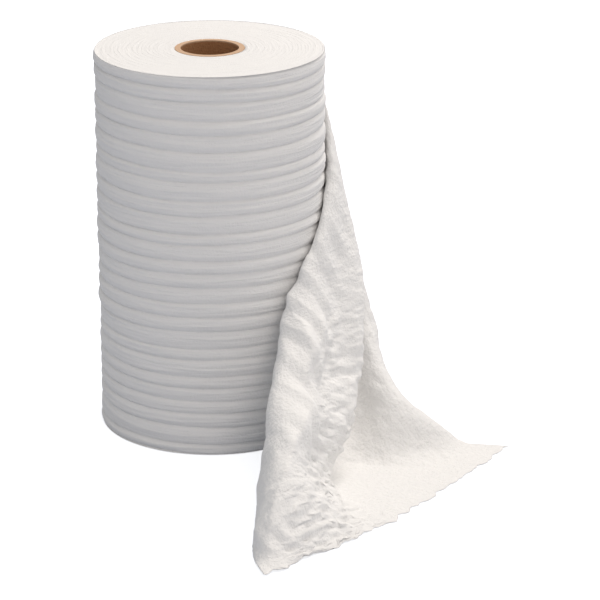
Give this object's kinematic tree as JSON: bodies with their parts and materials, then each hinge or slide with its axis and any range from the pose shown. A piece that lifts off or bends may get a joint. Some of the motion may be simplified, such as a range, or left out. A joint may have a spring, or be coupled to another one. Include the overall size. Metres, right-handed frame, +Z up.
{
  "type": "paper wiper roll",
  "caption": "Roll of creped white paper wipers wound on a cardboard core, standing on its end with the leading sheet pulled loose and draped on the surface beside it.",
  "frame": {"origin": "on the core's axis, at the level of the surface that the roll stands on", "axes": "+Z up along the core, +X to the side where the loose sheet leaves the roll, -Y to the front, where it lies on the surface"},
  "size_m": [0.269, 0.3362, 0.254],
  "materials": {
    "core_board": "matte",
    "creped_paper": "matte"
  },
  "bodies": {
    "root": {"core_tube": "core_board", "paper_roll": "creped_paper", "loose_wiper": "creped_paper"}
  },
  "joints": []
}
